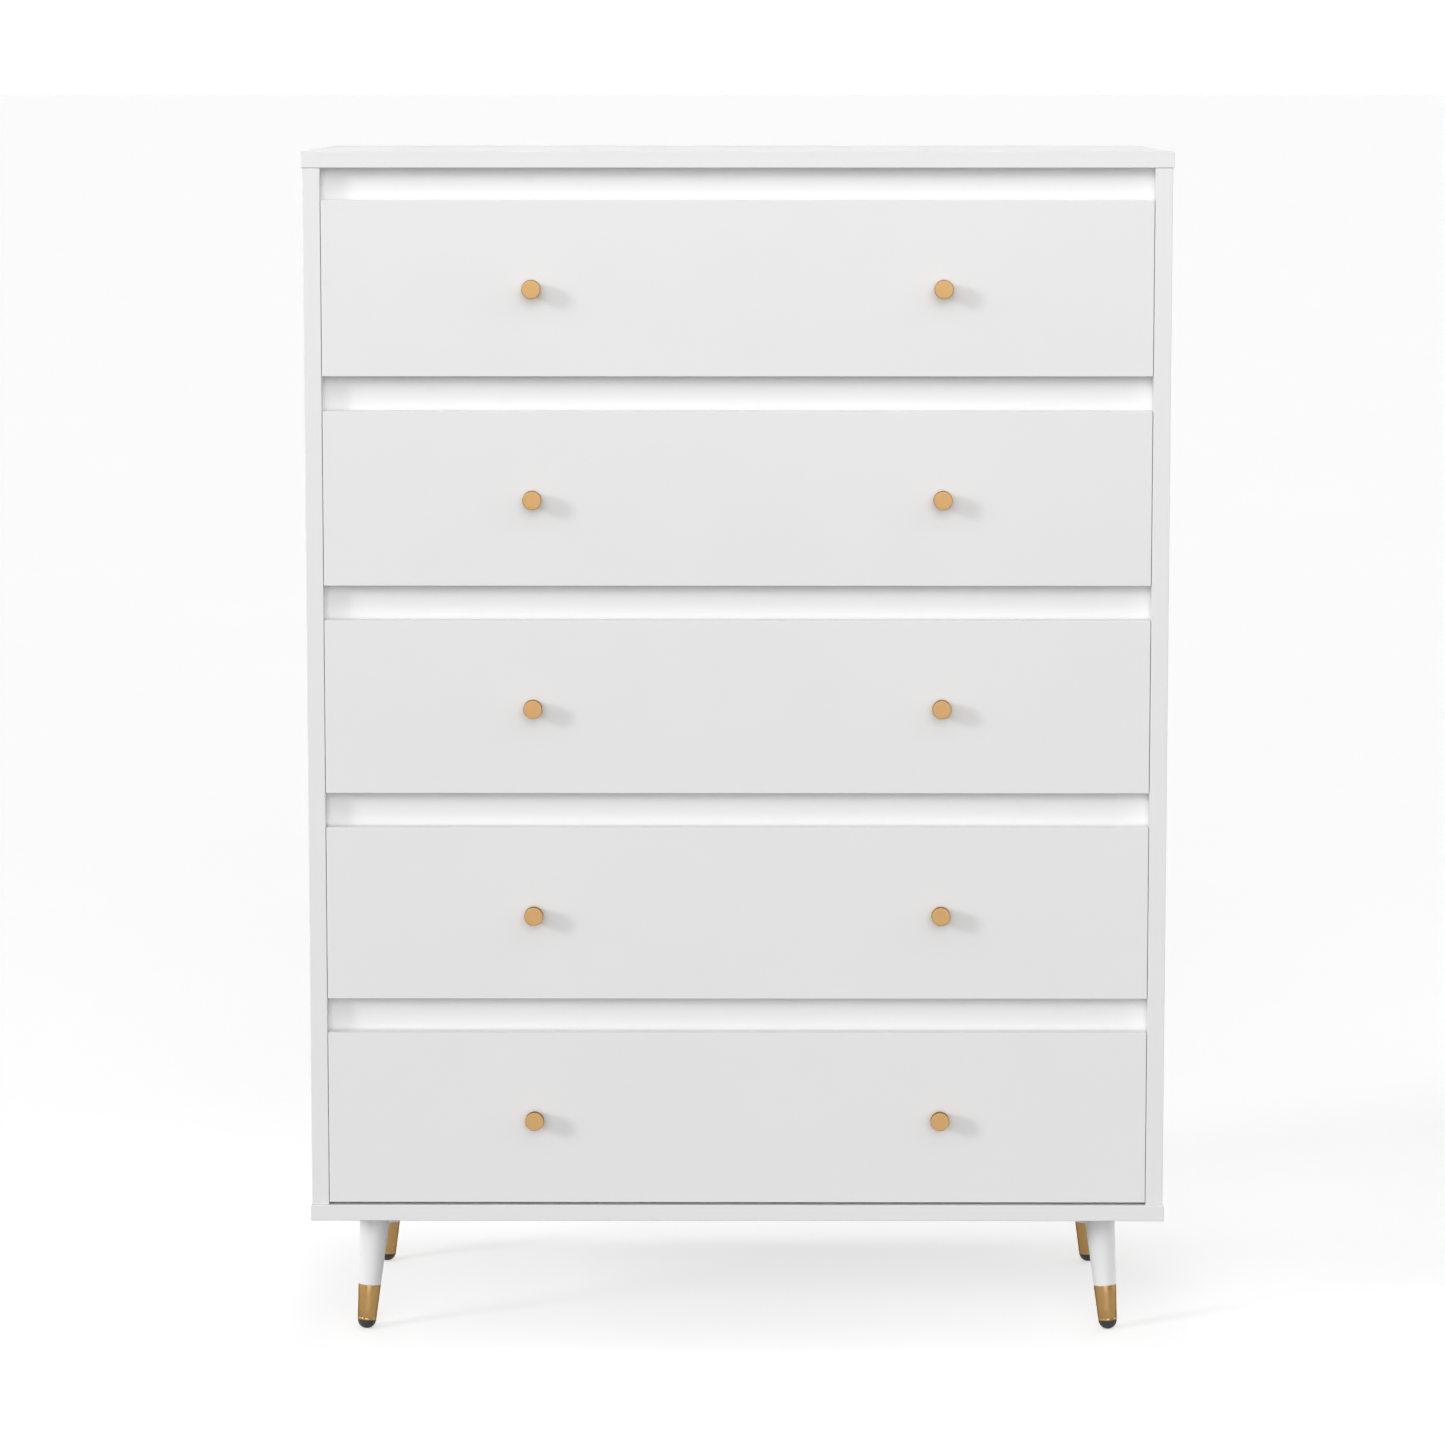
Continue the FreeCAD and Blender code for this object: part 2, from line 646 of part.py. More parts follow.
def make_drawer_front(number):
    half = f"({INNER} - side_gap)"
    base = front_base(number)
    front = Board((f"(2 * {half})", "board", "front_height"), (f"-{half}", FACE, base))
    low = (f"({half} - {BOX_INNER} - groove)", "(box_rise + bottom_rise)")
    front.slot("rear", low, (f"(2 * ({BOX_INNER} + groove))", "bottom_sheet"), "groove")
    holes = [(f"({half} + {side} * knob_spacing / 2)", "front_height / 2") for side in (-1, 1)]
    front.drill("front", holes, "(knob_screw + 2 * clearance)", "board")
    keep(front.body, f"drawer_{number}_front")


def make_drawer_side(number, side, x, inner_face):
    at = (x, BOX_FRONT, f"{front_base(number)} + box_rise")
    board = Board(("box_board", "box_length", "box_height"), at)
    groove_size = ("(box_length - box_board + groove)", "bottom_sheet")
    board.slot(inner_face, ("0", "bottom_rise"), groove_size, "groove")
    keep(board.body, f"drawer_{number}_side_{side}")


def make_drawer_back(number):
    at = (f"-{BOX_INNER}", f"{BOX_FRONT} + box_length - box_board", f"{front_base(number)} + box_rise")
    board = Board((f"(2 * {BOX_INNER})", "box_board", "box_height"), at)
    board.slot("front", ("0", "bottom_rise"), (f"(2 * {BOX_INNER})", "bottom_sheet"), "groove")
    keep(board.body, f"drawer_{number}_back")


def make_drawer_bottom(number):
    size = (f"(2 * ({BOX_INNER} + groove))", "(box_length - box_board + 2 * groove)", "bottom_sheet")
    at = (f"-({BOX_INNER} + groove)", f"{BOX_FRONT} - groove", bottom_height(number))
    keep(Board(size, at, eased=False).body, f"drawer_{number}_bottom")


def make_drawer_knobs(number):
    """Two flat-faced knobs that taper to their bases, each held by a screw from inside."""
    at = ("knob_spacing / 2", FACE, f"{front_base(number)} + front_height / 2")
    hole = "(knob_screw / 2 + clearance)"
    points = [(hole, "0"), ("knob_base / 2", "0"), ("knob_diameter / 2", "-(knob_projection - knob_rim)"),
              ("knob_diameter / 2", "-knob_projection"), ("0", "-knob_projection"),
              ("0", "-knob_thread"), (hole, "-knob_thread")]
    knob = turned("XY_Plane", points, at)
    doc.recompute()
    turning = knob.Tip
    face_y = min(vertex.Point.y for vertex in turning.Shape.Vertexes)
    rims = [f"Edge{n}" for n, edge in enumerate(turning.Shape.Edges, start=1)
            if edge.Closed and abs(edge.CenterOfMass.y - face_y) < Part.Precision.confusion()]
    rounding = knob.newObject("PartDesign::Fillet", "RoundedRim")
    rounding.Base = (turning, rims)
    bind(rounding, "Radius", "knob_edge")
    x, y, z = at
    tip = f"{y} - knob_thread + clearance"
    shank = rod("knob_screw", "board + knob_thread - clearance", (x, tip, z), REARWARD)
    head = rod("knob_screw_head", "knob_screw_cap", (x, f"{y} + board", z), REARWARD)
    keep(group(both_sides([knob, fused(shank, head)])), f"drawer_{number}_knobs")


def make_drawer(number):
    make_drawer_front(number)
    make_drawer_side(number, "left", f"-{BOX}", "right")
    make_drawer_side(number, "right", BOX_INNER, "left")
    make_drawer_back(number)
    make_drawer_bottom(number)
    make_drawer_knobs(number)


# ---------------------------------------------------------------- assembly and output

def check_document():
    """Stop if anything failed, or if a pocket took nothing away."""
    for item in doc.Objects:
        if "Invalid" in item.State or "Error" in item.State:
            raise RuntimeError(f"{item.Name} of {item.Label} failed: {item.State}")
        if item.TypeId == "PartDesign::Pocket":
            if item.Shape.Volume > item.BaseFeature.Shape.Volume - 1:
                raise RuntimeError(f"{item.Name} cuts nothing")
    for item in nodes:
        if item.Shape.isNull() or not item.Shape.isValid() or not item.Shape.Solids:
            raise RuntimeError(f"{item.Label} has no valid solid")


make_top_panel()
make_bottom_panel()
make_side_panel("side_panel_left", f"-{INNER} - side_board", "right")
make_side_panel("side_panel_right", INNER, "left")
make_back_panel()
make_anti_tip_brackets()
make_legs()
for drawer in range(1, DRAWERS + 1):
    make_rail(drawer)
    make_drawer(drawer)
make_slides()
make_carcass_fasteners()

doc.recompute()
check_document()
os.makedirs("parts", exist_ok=True)
for node in nodes:
    node.Shape.exportStep(f"parts/{node.Label}.step")
    print(node.Label, len(node.Shape.Solids), "solids")
print(len(nodes), "nodes")
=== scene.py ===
import json
import math

import bmesh
import bpy
from mathutils import Matrix, Vector


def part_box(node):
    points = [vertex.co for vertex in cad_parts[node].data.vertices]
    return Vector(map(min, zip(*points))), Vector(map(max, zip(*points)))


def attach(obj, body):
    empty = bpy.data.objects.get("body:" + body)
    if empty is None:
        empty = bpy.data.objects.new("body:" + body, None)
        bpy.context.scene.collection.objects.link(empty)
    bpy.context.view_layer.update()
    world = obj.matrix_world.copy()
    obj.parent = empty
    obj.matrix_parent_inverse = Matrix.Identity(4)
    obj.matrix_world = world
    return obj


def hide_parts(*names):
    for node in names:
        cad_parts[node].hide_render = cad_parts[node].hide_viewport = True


# The looks of a tall white chest of five drawers, in metres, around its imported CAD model.

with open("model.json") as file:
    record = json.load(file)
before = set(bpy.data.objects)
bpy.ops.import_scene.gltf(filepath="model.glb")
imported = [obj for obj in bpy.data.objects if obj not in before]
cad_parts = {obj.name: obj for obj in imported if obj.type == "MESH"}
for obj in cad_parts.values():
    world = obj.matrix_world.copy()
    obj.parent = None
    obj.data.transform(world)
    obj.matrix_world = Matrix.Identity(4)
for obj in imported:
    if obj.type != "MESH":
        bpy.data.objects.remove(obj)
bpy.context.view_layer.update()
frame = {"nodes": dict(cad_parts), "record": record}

DRAWERS = range(1, 6)
MM = 0.001

# ---------------------------------------------------------------- shader helpers


def new_material(name, roughness, metallic=0.0, specular=0.5):
    """A material, its node tree and its main shader."""
    material = bpy.data.materials.new(name)
    material.use_nodes = True
    tree = material.node_tree
    shader = tree.nodes["Principled BSDF"]
    shader.inputs["Roughness"].default_value = roughness
    shader.inputs["Metallic"].default_value = metallic
    shader.inputs["Specular IOR Level"].default_value = specular
    return material, tree, shader


def add_node(tree, kind, sockets, **settings):
    """Add a node. Each socket takes a value, or another node's output."""
    made = tree.nodes.new(kind)
    for key, value in settings.items():
        setattr(made, key, value)
    for key, value in sockets.items():
        if isinstance(value, bpy.types.NodeSocket):
            tree.links.new(value, made.inputs[key])
        else:
            made.inputs[key].default_value = value
    return made


def place_in_object(tree, stretch=(1.0, 1.0, 1.0)):
    """Coordinates that stay with the piece, in metres, stretched along its axes."""
    coordinates = tree.nodes.new("ShaderNodeTexCoord")
    sockets = {"Vector": coordinates.outputs["Object"], "Scale": stretch}
    mapping = add_node(tree, "ShaderNodeMapping", sockets)
    return mapping.outputs["Vector"]


def noise(tree, where, per_metre, detail=3.0):
    sockets = {"Vector": where, "Scale": per_metre, "Detail": detail}
    return add_node(tree, "ShaderNodeTexNoise", sockets).outputs["Fac"]


def ranged(tree, value, low, high):
    """Spread a noise, which stays near a half, over a range."""
    sockets = {"Value": value, "From Min": 0.3, "From Max": 0.7, "To Min": low, "To Max": high}
    return add_node(tree, "ShaderNodeMapRange", sockets).outputs["Result"]


def blended(tree, factor, first, second):
    """A colour between two others."""
    mixer = add_node(tree, "ShaderNodeMix", {}, data_type="RGBA")
    mixer.inputs[6].default_value = (*first, 1.0)
    mixer.inputs[7].default_value = (*second, 1.0)
    tree.links.new(factor, mixer.inputs[0])
    return mixer.outputs[2]


def relief(tree, shader, height, depth):
    """Bump from a height, which is at most depth metres high."""
    bump = add_node(tree, "ShaderNodeBump", {"Height": height, "Distance": depth, "Strength": 1.0})
    tree.links.new(bump.outputs["Normal"], shader.inputs["Normal"])


# ---------------------------------------------------------------- materials


def painted_board(name, tone, roughness, peel=0.00002):
    """White satin lacquer: faint cloudiness, an even fine orange peel and slightly uneven gloss."""
    material, tree, shader = new_material(name, roughness, specular=0.3)
    where = place_in_object(tree)
    cloud = ranged(tree, noise(tree, where, 4.0), 0.0, 1.0)
    darker = [channel * 0.985 for channel in tone]
    tree.links.new(blended(tree, cloud, darker, tone), shader.inputs["Base Color"])
    gloss = ranged(tree, noise(tree, where, 18.0, 4.0), roughness - 0.05, roughness + 0.06)
    tree.links.new(gloss, shader.inputs["Roughness"])
    relief(tree, shader, noise(tree, where, 650.0, 2.0), peel)
    return material


def hardboard(name, tone):
    """White foil on hardboard: a pressed, slightly fibrous surface."""
    material, tree, shader = new_material(name, 0.55)
    where = place_in_object(tree, (1.0, 1.0, 0.25))
    fibres = noise(tree, where, 260.0, 5.0)
    darker = [channel * 0.96 for channel in tone]
    cloud = ranged(tree, fibres, 0.0, 1.0)
    tree.links.new(blended(tree, cloud, darker, tone), shader.inputs["Base Color"])
    tree.links.new(ranged(tree, fibres, 0.5, 0.66), shader.inputs["Roughness"])
    relief(tree, shader, fibres, 0.00006)
    return material


def turned_brass(name, tone, edge, roughness, rings):
    """Satin brass with painted shade at its edges, where a dark tint darkens its reflection at grazing
    angles, and so many fine turned rings to the metre.
    """
    material, tree, shader = new_material(name, roughness, metallic=1.0)
    # The edge tint is painted shade: a dark brown that darkens the brass's reflection at grazing angles.
    shader.inputs["Specular Tint"].default_value = (*edge, 1.0)
    where = place_in_object(tree)
    cloud = ranged(tree, noise(tree, where, 120.0), 0.0, 1.0)
    darker = [channel * 0.95 for channel in tone]
    tree.links.new(blended(tree, cloud, darker, tone), shader.inputs["Base Color"])
    gloss = ranged(tree, noise(tree, where, 300.0), roughness - 0.03, roughness + 0.03)
    tree.links.new(gloss, shader.inputs["Roughness"])
    sockets = {"Vector": where, "Scale": rings, "Distortion": 0.3, "Detail": 2.0, "Detail Scale": 2.0}
    grooves = add_node(tree, "ShaderNodeTexWave", sockets, wave_type="RINGS", rings_direction="Z")
    relief(tree, shader, grooves.outputs["Fac"], 0.000004)
    return material


def sheet_steel(name, tone, roughness, stretch):
    """Zinc-plated steel: drawn streaks along the piece and a faint spangle."""
    material, tree, shader = new_material(name, roughness, metallic=1.0)
    where = place_in_object(tree, stretch)
    streaks = noise(tree, where, 900.0, 4.0)
    spangle = add_node(tree, "ShaderNodeTexVoronoi", {"Vector": place_in_object(tree), "Scale": 220.0})
    darker = [channel * 0.8 for channel in tone]
    sockets = {0: streaks, 1: spangle.outputs["Distance"]}
    both = add_node(tree, "ShaderNodeMath", sockets, operation="MULTIPLY")
    tree.links.new(blended(tree, both.outputs["Value"], darker, tone), shader.inputs["Base Color"])
    tree.links.new(ranged(tree, streaks, roughness - 0.08, roughness + 0.08), shader.inputs["Roughness"])
    relief(tree, shader, streaks, 0.00002)
    return material


def moulded_rubber(name, tone):
    material, tree, shader = new_material(name, 0.55)
    where = place_in_object(tree)
    grain = noise(tree, where, 1800.0, 3.0)
    lighter = [channel * 1.5 for channel in tone]
    cloud = ranged(tree, grain, 0.0, 1.0)
    tree.links.new(blended(tree, cloud, tone, lighter), shader.inputs["Base Color"])
    tree.links.new(ranged(tree, grain, 0.45, 0.65), shader.inputs["Roughness"])
    relief(tree, shader, grain, 0.00004)
    return material


WHITE = (0.90, 0.898, 0.90)
# The legs' white is lighter than the boards' as painted light, standing in for light that reaches the
# legs under the chest.
LEG_WHITE_WITH_PAINTED_LIGHT = (0.96, 0.958, 0.96)
KNOB_BRASS = (0.448, 0.272, 0.115)
FERRULE_BRASS = (0.40, 0.245, 0.095)
# Dark tints of the brass reflection at grazing angles: painted shade on the edges of the knobs and
# ferrules.
KNOB_BRASS_PAINTED_EDGE_SHADE = (0.45, 0.30, 0.15)
FERRULE_BRASS_PAINTED_EDGE_SHADE = (0.30, 0.20, 0.10)
STEEL = (0.60, 0.61, 0.62)
BOX_WHITE = (0.80, 0.80, 0.79)
FOIL_WHITE = (0.84, 0.84, 0.83)
FOOT_BLACK = (0.02, 0.021, 0.02)

lacquer = painted_board("white_lacquer", WHITE, 0.55)
box_lacquer = painted_board("box_lacquer", BOX_WHITE, 0.6, 0.00004)
# Lacquer for the legs, with painted light in its lighter white.
leg_lacquer_painted_light = painted_board("leg_lacquer_painted_light", LEG_WHITE_WITH_PAINTED_LIGHT, 0.45)
foil = hardboard("white_foil", FOIL_WHITE)
knob_brass = turned_brass("knob_brass", KNOB_BRASS, KNOB_BRASS_PAINTED_EDGE_SHADE, 0.45, 900.0)
ferrule_brass = turned_brass("ferrule_brass", FERRULE_BRASS, FERRULE_BRASS_PAINTED_EDGE_SHADE, 0.3, 900.0)
slide_steel = sheet_steel("slide_steel", STEEL, 0.36, (1.0, 0.03, 1.0))
plate_steel = sheet_steel("plate_steel", STEEL, 0.42, (1.0, 1.0, 1.0))
black_rubber = moulded_rubber("black_rubber", FOOT_BLACK)

NODE_MATERIALS = {
    "white_board": lacquer,
    "white_sheet": foil,
    "white_leg": leg_lacquer_painted_light,
    "brass": ferrule_brass,
    "foot_black": black_rubber,
    "steel": plate_steel,
}


def dress_nodes():
    """Give every CAD node the material of its slot, or a closer one on the slides and drawer boxes."""
    slots = {entry["node"]: entry["material_slot"] for entry in frame["record"]["subparts"]}
    for name, item in frame["nodes"].items():
        finish = NODE_MATERIALS[slots[name]]
        if "slide" in name:
            finish = slide_steel
        elif name.endswith(("side_left", "side_right", "_back")) and name.startswith("drawer"):
            finish = box_lacquer
        item.data.materials.clear()
        item.data.materials.append(finish)


dress_nodes()

# ---------------------------------------------------------------- sizes of the new pieces

# knobs and the screws that hold them
KNOB_RIM = 6.0 * MM             # length of the straight rim
KNOB_BASE = 6.0 * MM            # radius where the knob meets the drawer
KNOB_EDGE = 0.8 * MM            # rounding of the face's edge
KNOB_FOOT = 0.3 * MM            # rounding of the base
KNOB_SHOULDER = 0.6 * MM        # rounding between the neck and the rim
KNOB_SHOULDER_RISE = 0.4 * MM   # from the end of the neck to that rounding's centre
KNOB_SCREW_HEAD = 4.0 * MM      # radius
KNOB_SCREW_LENGTH = 15.0 * MM
CROSS_RAISE = 0.1 * MM          # how far a cross-shaped cutter starts above a screw

# slides
SLIDE_STEEL = 1.2 * MM          # thickness of the sheet
SLIDE_SCREW = 3.4 * MM          # radius of the head
SLIDE_SCREW_CAP = 1.3 * MM      # height of the head
SLIDE_SCREWS = 4                # along each channel
BALL = 1.0 * MM                 # radius
BALL_PITCH = 12.0 * MM
RETAINER_START = 20.0 * MM      # from the channel's front end to the first ball
RETAINER_BALLS = 10

# cam locks inside the drawers
CAM_INSET = 24.0 * MM           # from the board's end
CAM_SPREAD = 38.0 * MM          # above and below the board's middle
CAM_RADIUS = 7.5 * MM
CAM_STANDING = 0.5 * MM         # how far the disc stands out of the board
BOX_BOARD = 12.0 * MM           # thickness of the drawer back

# legs, as cones about leaning axes, and the ferrules on them
LEG_INSET_X = 56.4 * MM         # from the panel's side to the leg's middle
LEG_INSET_Y = 65.0 * MM         # from the panel's front or rear edge
LEG_SPLAY = 0.08                # outwards, each way, for each unit of height
LEG_TIP = 8.3 * MM              # radius at the floor
LEG_TOP = 14.8 * MM             # radius under the bottom panel
FERRULE_LOW = 8.4 * MM          # lower end, along the leg
FERRULE_HIGH = 42.2 * MM        # upper end, along the leg
FERRULE_WALL = 1.0 * MM
RIM_HEIGHT = 2.0 * MM           # from the lower end to the groove
RIM_ROUND = 0.3 * MM
GROOVE_DEPTH = 0.1 * MM

# ---------------------------------------------------------------- new pieces


def finished(name, shape, material, body, matrix):
    """Turn a bmesh into a piece that rides on a body."""
    mesh = bpy.data.meshes.new(name)
    shape.to_mesh(mesh)
    shape.free()
    mesh.materials.append(material)
    piece = bpy.data.objects.new(name, mesh)
    bpy.context.scene.collection.objects.link(piece)
    piece.matrix_world = matrix
    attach(piece, body)
    return piece


def lathe(profile, segments=64, hollow=False):
    """A turned solid about Z, from (radius, height) points. A radius of zero is on the axis."""
    shape = bmesh.new()
    rings = []
    for radius, height in profile:
        if radius == 0:
            rings.append([shape.verts.new((0, 0, height))])
            continue
        ring = []
        for n in range(segments):
            turn = 2 * math.pi * n / segments
            ring.append(shape.verts.new((radius * math.cos(turn), radius * math.sin(turn), height)))
        rings.append(ring)
    pairs = list(zip(rings, rings[1:]))
    if hollow:
        pairs.append((rings[-1], rings[0]))
    for lower, upper in pairs:
        for n in range(segments):
            after = (n + 1) % segments
            if len(lower) == 1:
                corners = (lower[0], upper[after], upper[n])
            elif len(upper) == 1:
                corners = (lower[n], lower[after], upper[0])
            else:
                corners = (lower[n], lower[after], upper[after], upper[n])
            shape.faces.new(corners)
    for face in shape.faces:
        face.smooth = True
    bmesh.ops.recalc_face_normals(shape, faces=shape.faces)
    return shape


def arc(centre, radius, start, stop, steps):
    """Points of a rounded corner in a profile, angles in degrees."""
    points = []
    for n in range(steps + 1):
        angle = math.radians(start + (stop - start) * n / steps)
        points.append((centre[0] + radius * math.cos(angle), centre[1] + radius * math.sin(angle)))
    return points


def knob_profile(radius, length):
    """A round head with a flat face, on a neck that narrows towards the drawer."""
    profile = [(0, 0), (KNOB_BASE - KNOB_FOOT, 0)]
    profile += arc((KNOB_BASE - KNOB_FOOT, KNOB_FOOT), KNOB_FOOT, -90, 0, 3)
    shoulder = length - KNOB_RIM
    for part in (0.3, 0.6, 0.9):
        out = KNOB_BASE + (radius - KNOB_BASE) * part
        profile.append((out, KNOB_FOOT + (shoulder - KNOB_FOOT) * part))
    profile += arc((radius - KNOB_SHOULDER, shoulder + KNOB_SHOULDER_RISE), KNOB_SHOULDER, -40, 0, 3)
    profile += arc((radius - KNOB_EDGE, length - KNOB_EDGE), KNOB_EDGE, 0, 90, 8)
    profile += [(radius * 0.7, length), (radius * 0.35, length), (0, length)]
    return profile


TOWARDS_FRONT = Matrix.Rotation(math.radians(90), 4, "X")
TOWARDS_REAR = Matrix.Rotation(math.radians(-90), 4, "X")
TOWARDS_LEFT = Matrix.Rotation(math.radians(-90), 4, "Y")
TOWARDS_RIGHT = Matrix.Rotation(math.radians(90), 4, "Y")
UPRIGHT = Matrix.Identity(4)


def as_object(shape):
    mesh = bpy.data.meshes.new("shape")
    shape.to_mesh(mesh)
    shape.free()
    made = bpy.data.objects.new("shape", mesh)
    bpy.context.scene.collection.objects.link(made)
    return made


def carved(shape, cutter):
    """The first shape with the second one cut out of it, as a mesh."""
    block, tool = as_object(shape), as_object(cutter)
    cut = block.modifiers.new("cut", "BOOLEAN")
    cut.object = tool
    cut.solver = "EXACT"
    cut.use_self = True
    evaluated = block.evaluated_get(bpy.context.evaluated_depsgraph_get())
    mesh = bpy.data.meshes.new_from_object(evaluated)
    for spent in (block, tool):
        bpy.data.objects.remove(spent)
    return mesh


def cross(arm, width, depth, top):
    """A driver's cross: two tapered bars that end at a depth below the top."""
    shape = bmesh.new()
    for turn in (0, 90):
        bar = bmesh.ops.create_cube(shape, size=1.0)["verts"]
        for vertex in bar:
            upper = vertex.co.z > 0
            narrow = 1.0 if upper else 0.55
            level = top + CROSS_RAISE if upper else top - depth
            vertex.co = Vector((vertex.co.x * 2 * arm * narrow, vertex.co.y * width * narrow, level))
        quarter = Matrix.Rotation(math.radians(turn), 3, "Z")
        bmesh.ops.rotate(shape, verts=bar, cent=(0, 0, 0), matrix=quarter)
    return shape


def screw_head(radius, height, shank=0.0):
    """A domed head with a cross recess, on a plain shank that may have no length."""
    profile = [(0, -shank), (radius * 0.5, -shank), (radius * 0.5, 0)] if shank else [(0, 0)]
    profile += [
        (radius - 0.15 * MM, 0),
        (radius, 0.15 * MM),
        (radius, height * 0.45),
        (radius * 0.92, height * 0.75),
        (radius * 0.7, height * 0.95),
        (radius * 0.4, height),
        (0, height),
    ]
    return carved(lathe(profile, 32), cross(radius * 0.55, radius * 0.22, height * 0.75, height))


def cam_face(radius, height):
    """The visible disc of a cam lock, with a rim and a cross recess."""
    profile = [
        (0, 0),
        (radius, 0),
        (radius, height),
        (radius * 0.86, height),
        (radius * 0.82, height * 0.6),
        (radius * 0.5, height * 0.6),
        (radius * 0.46, height),
        (0, height),
    ]
    return carved(lathe(profile, 40), cross(radius * 0.42, radius * 0.16, height * 0.7, height))


def cluster(template, places):
    """Copies of one mesh at several places, as one shape."""
    shape = bmesh.new()
    for matrix in places:
        already = len(shape.verts)
        shape.from_mesh(template)
        shape.verts.ensure_lookup_table()
        bmesh.ops.transform(shape, matrix=matrix, verts=shape.verts[already:])
    return shape


def at(x, y, z, turn=UPRIGHT):
    return Matrix.Translation((x, y, z)) @ turn


def add_knobs(number):
    """The knobs of a drawer, and the screws that hold them from inside it."""
    node = f"drawer_{number}_knobs"
    body = f"drawer_{number}"
    low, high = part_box(node)
    face_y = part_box(f"drawer_{number}_front")[0].y
    inner_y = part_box(f"drawer_{number}_front")[1].y
    radius = (high.z - low.z) / 2
    height = (high.z + low.z) / 2
    screw = screw_head(KNOB_SCREW_HEAD, high.y - inner_y, KNOB_SCREW_LENGTH)
    for side, x in (("left", low.x + radius), ("right", high.x - radius)):
        profile = knob_profile(radius, face_y - low.y)
        knob = finished(f"{body}_knob_{side}", lathe(profile), knob_brass, body,
                        at(x, face_y, height, TOWARDS_FRONT))
        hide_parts(node)
        finished(f"{body}_knob_screw_{side}", cluster(screw, [UPRIGHT]), plate_steel, body,
                 at(x, inner_y, height, TOWARDS_REAR))


def screw_rows(low, high, height, count):
    """Places spread evenly along a slide, between its ends."""
    step = (high.y - low.y) / count
    return [(low.y + (n + 0.5) * step, height) for n in range(count)]


def add_slide_details(number):
    """Screws in the inner channels, and balls in their retainers between the channels."""
    body = f"drawer_{number}"
    middle_body = f"slide_middle_{number}"
    inner_low, inner_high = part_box(f"drawer_{number}_slide_inner")
    middle_low, middle_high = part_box(f"drawer_{number}_slide_middle")
    height = (inner_low.z + inner_high.z) / 2
    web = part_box(f"drawer_{number}_side_right")[1].x + SLIDE_STEEL
    screw = screw_head(SLIDE_SCREW, SLIDE_SCREW_CAP)
    places = []
    for y, z in screw_rows(inner_low, inner_high, height, SLIDE_SCREWS):
        places += [at(web, y, z, TOWARDS_RIGHT), at(-web, y, z, TOWARDS_LEFT)]
    finished(f"{body}_slide_screws", cluster(screw, places), plate_steel, body, UPRIGHT)
    ball = bpy.data.meshes.new("ball")
    shape = bmesh.new()
    bmesh.ops.create_uvsphere(shape, u_segments=16, v_segments=10, radius=BALL)
    for face in shape.faces:
        face.smooth = True
    shape.to_mesh(ball)
    shape.free()
    gap = (middle_high.z - middle_low.z) / 2 - SLIDE_STEEL - (inner_high.z - inner_low.z) / 2
    ball_x = (inner_high.x + web) / 2
    balls = []
    for n in range(RETAINER_BALLS):
        y = middle_low.y + RETAINER_START + n * BALL_PITCH
        for side in (-1, 1):
            for end in (-1, 1):
                z = height + end * ((inner_high.z - inner_low.z) / 2 + gap / 2)
                balls.append(at(side * ball_x, y, z))
    finished(f"{middle_body}_balls", cluster(ball, balls), slide_steel, middle_body, UPRIGHT)


def add_cam_faces(number):
    """Cam locks inside a drawer, where its sides meet the front and the back."""
    body = f"drawer_{number}"
    low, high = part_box(f"drawer_{number}_side_right")
    left_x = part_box(f"drawer_{number}_side_left")[1].x
    height = (low.z + high.z) / 2
    ys = (low.y + CAM_INSET, high.y - CAM_INSET - BOX_BOARD)
    zs = (height - CAM_SPREAD, height + CAM_SPREAD)
    places = []
    for y in ys:
        for z in zs:
            places += [at(low.x, y, z, TOWARDS_LEFT), at(left_x, y, z, TOWARDS_RIGHT)]
    cam = cam_face(CAM_RADIUS, CAM_STANDING)
    finished(f"{body}_cams", cluster(cam, places), plate_steel, body, UPRIGHT)


def add_ferrules():
    """A thin brass cone round the lower end of each leg, with a rolled rim and a fine groove."""
    panel_low, panel_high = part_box("bottom_panel")
    for side, x in (("left", panel_low.x + LEG_INSET_X), ("right", panel_high.x - LEG_INSET_X)):
        for end, y in (("front", panel_low.y + LEG_INSET_Y), ("rear", panel_high.y - LEG_INSET_Y)):
            lean = Vector((math.copysign(LEG_SPLAY, x), math.copysign(LEG_SPLAY, y), -1.0))
            foot = Vector((x, y, panel_low.z)) + lean * panel_low.z
            turn = (-lean).to_track_quat("Z", "Y").to_matrix().to_4x4()
            place = Matrix.Translation(foot) @ turn
            profile = ferrule_profile(panel_low.z)
            ferrule = finished(f"ferrule_{end}_{side}", lathe(profile, 96, hollow=True), ferrule_brass,
                               "carcass", place)
            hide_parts("leg_ferrules")


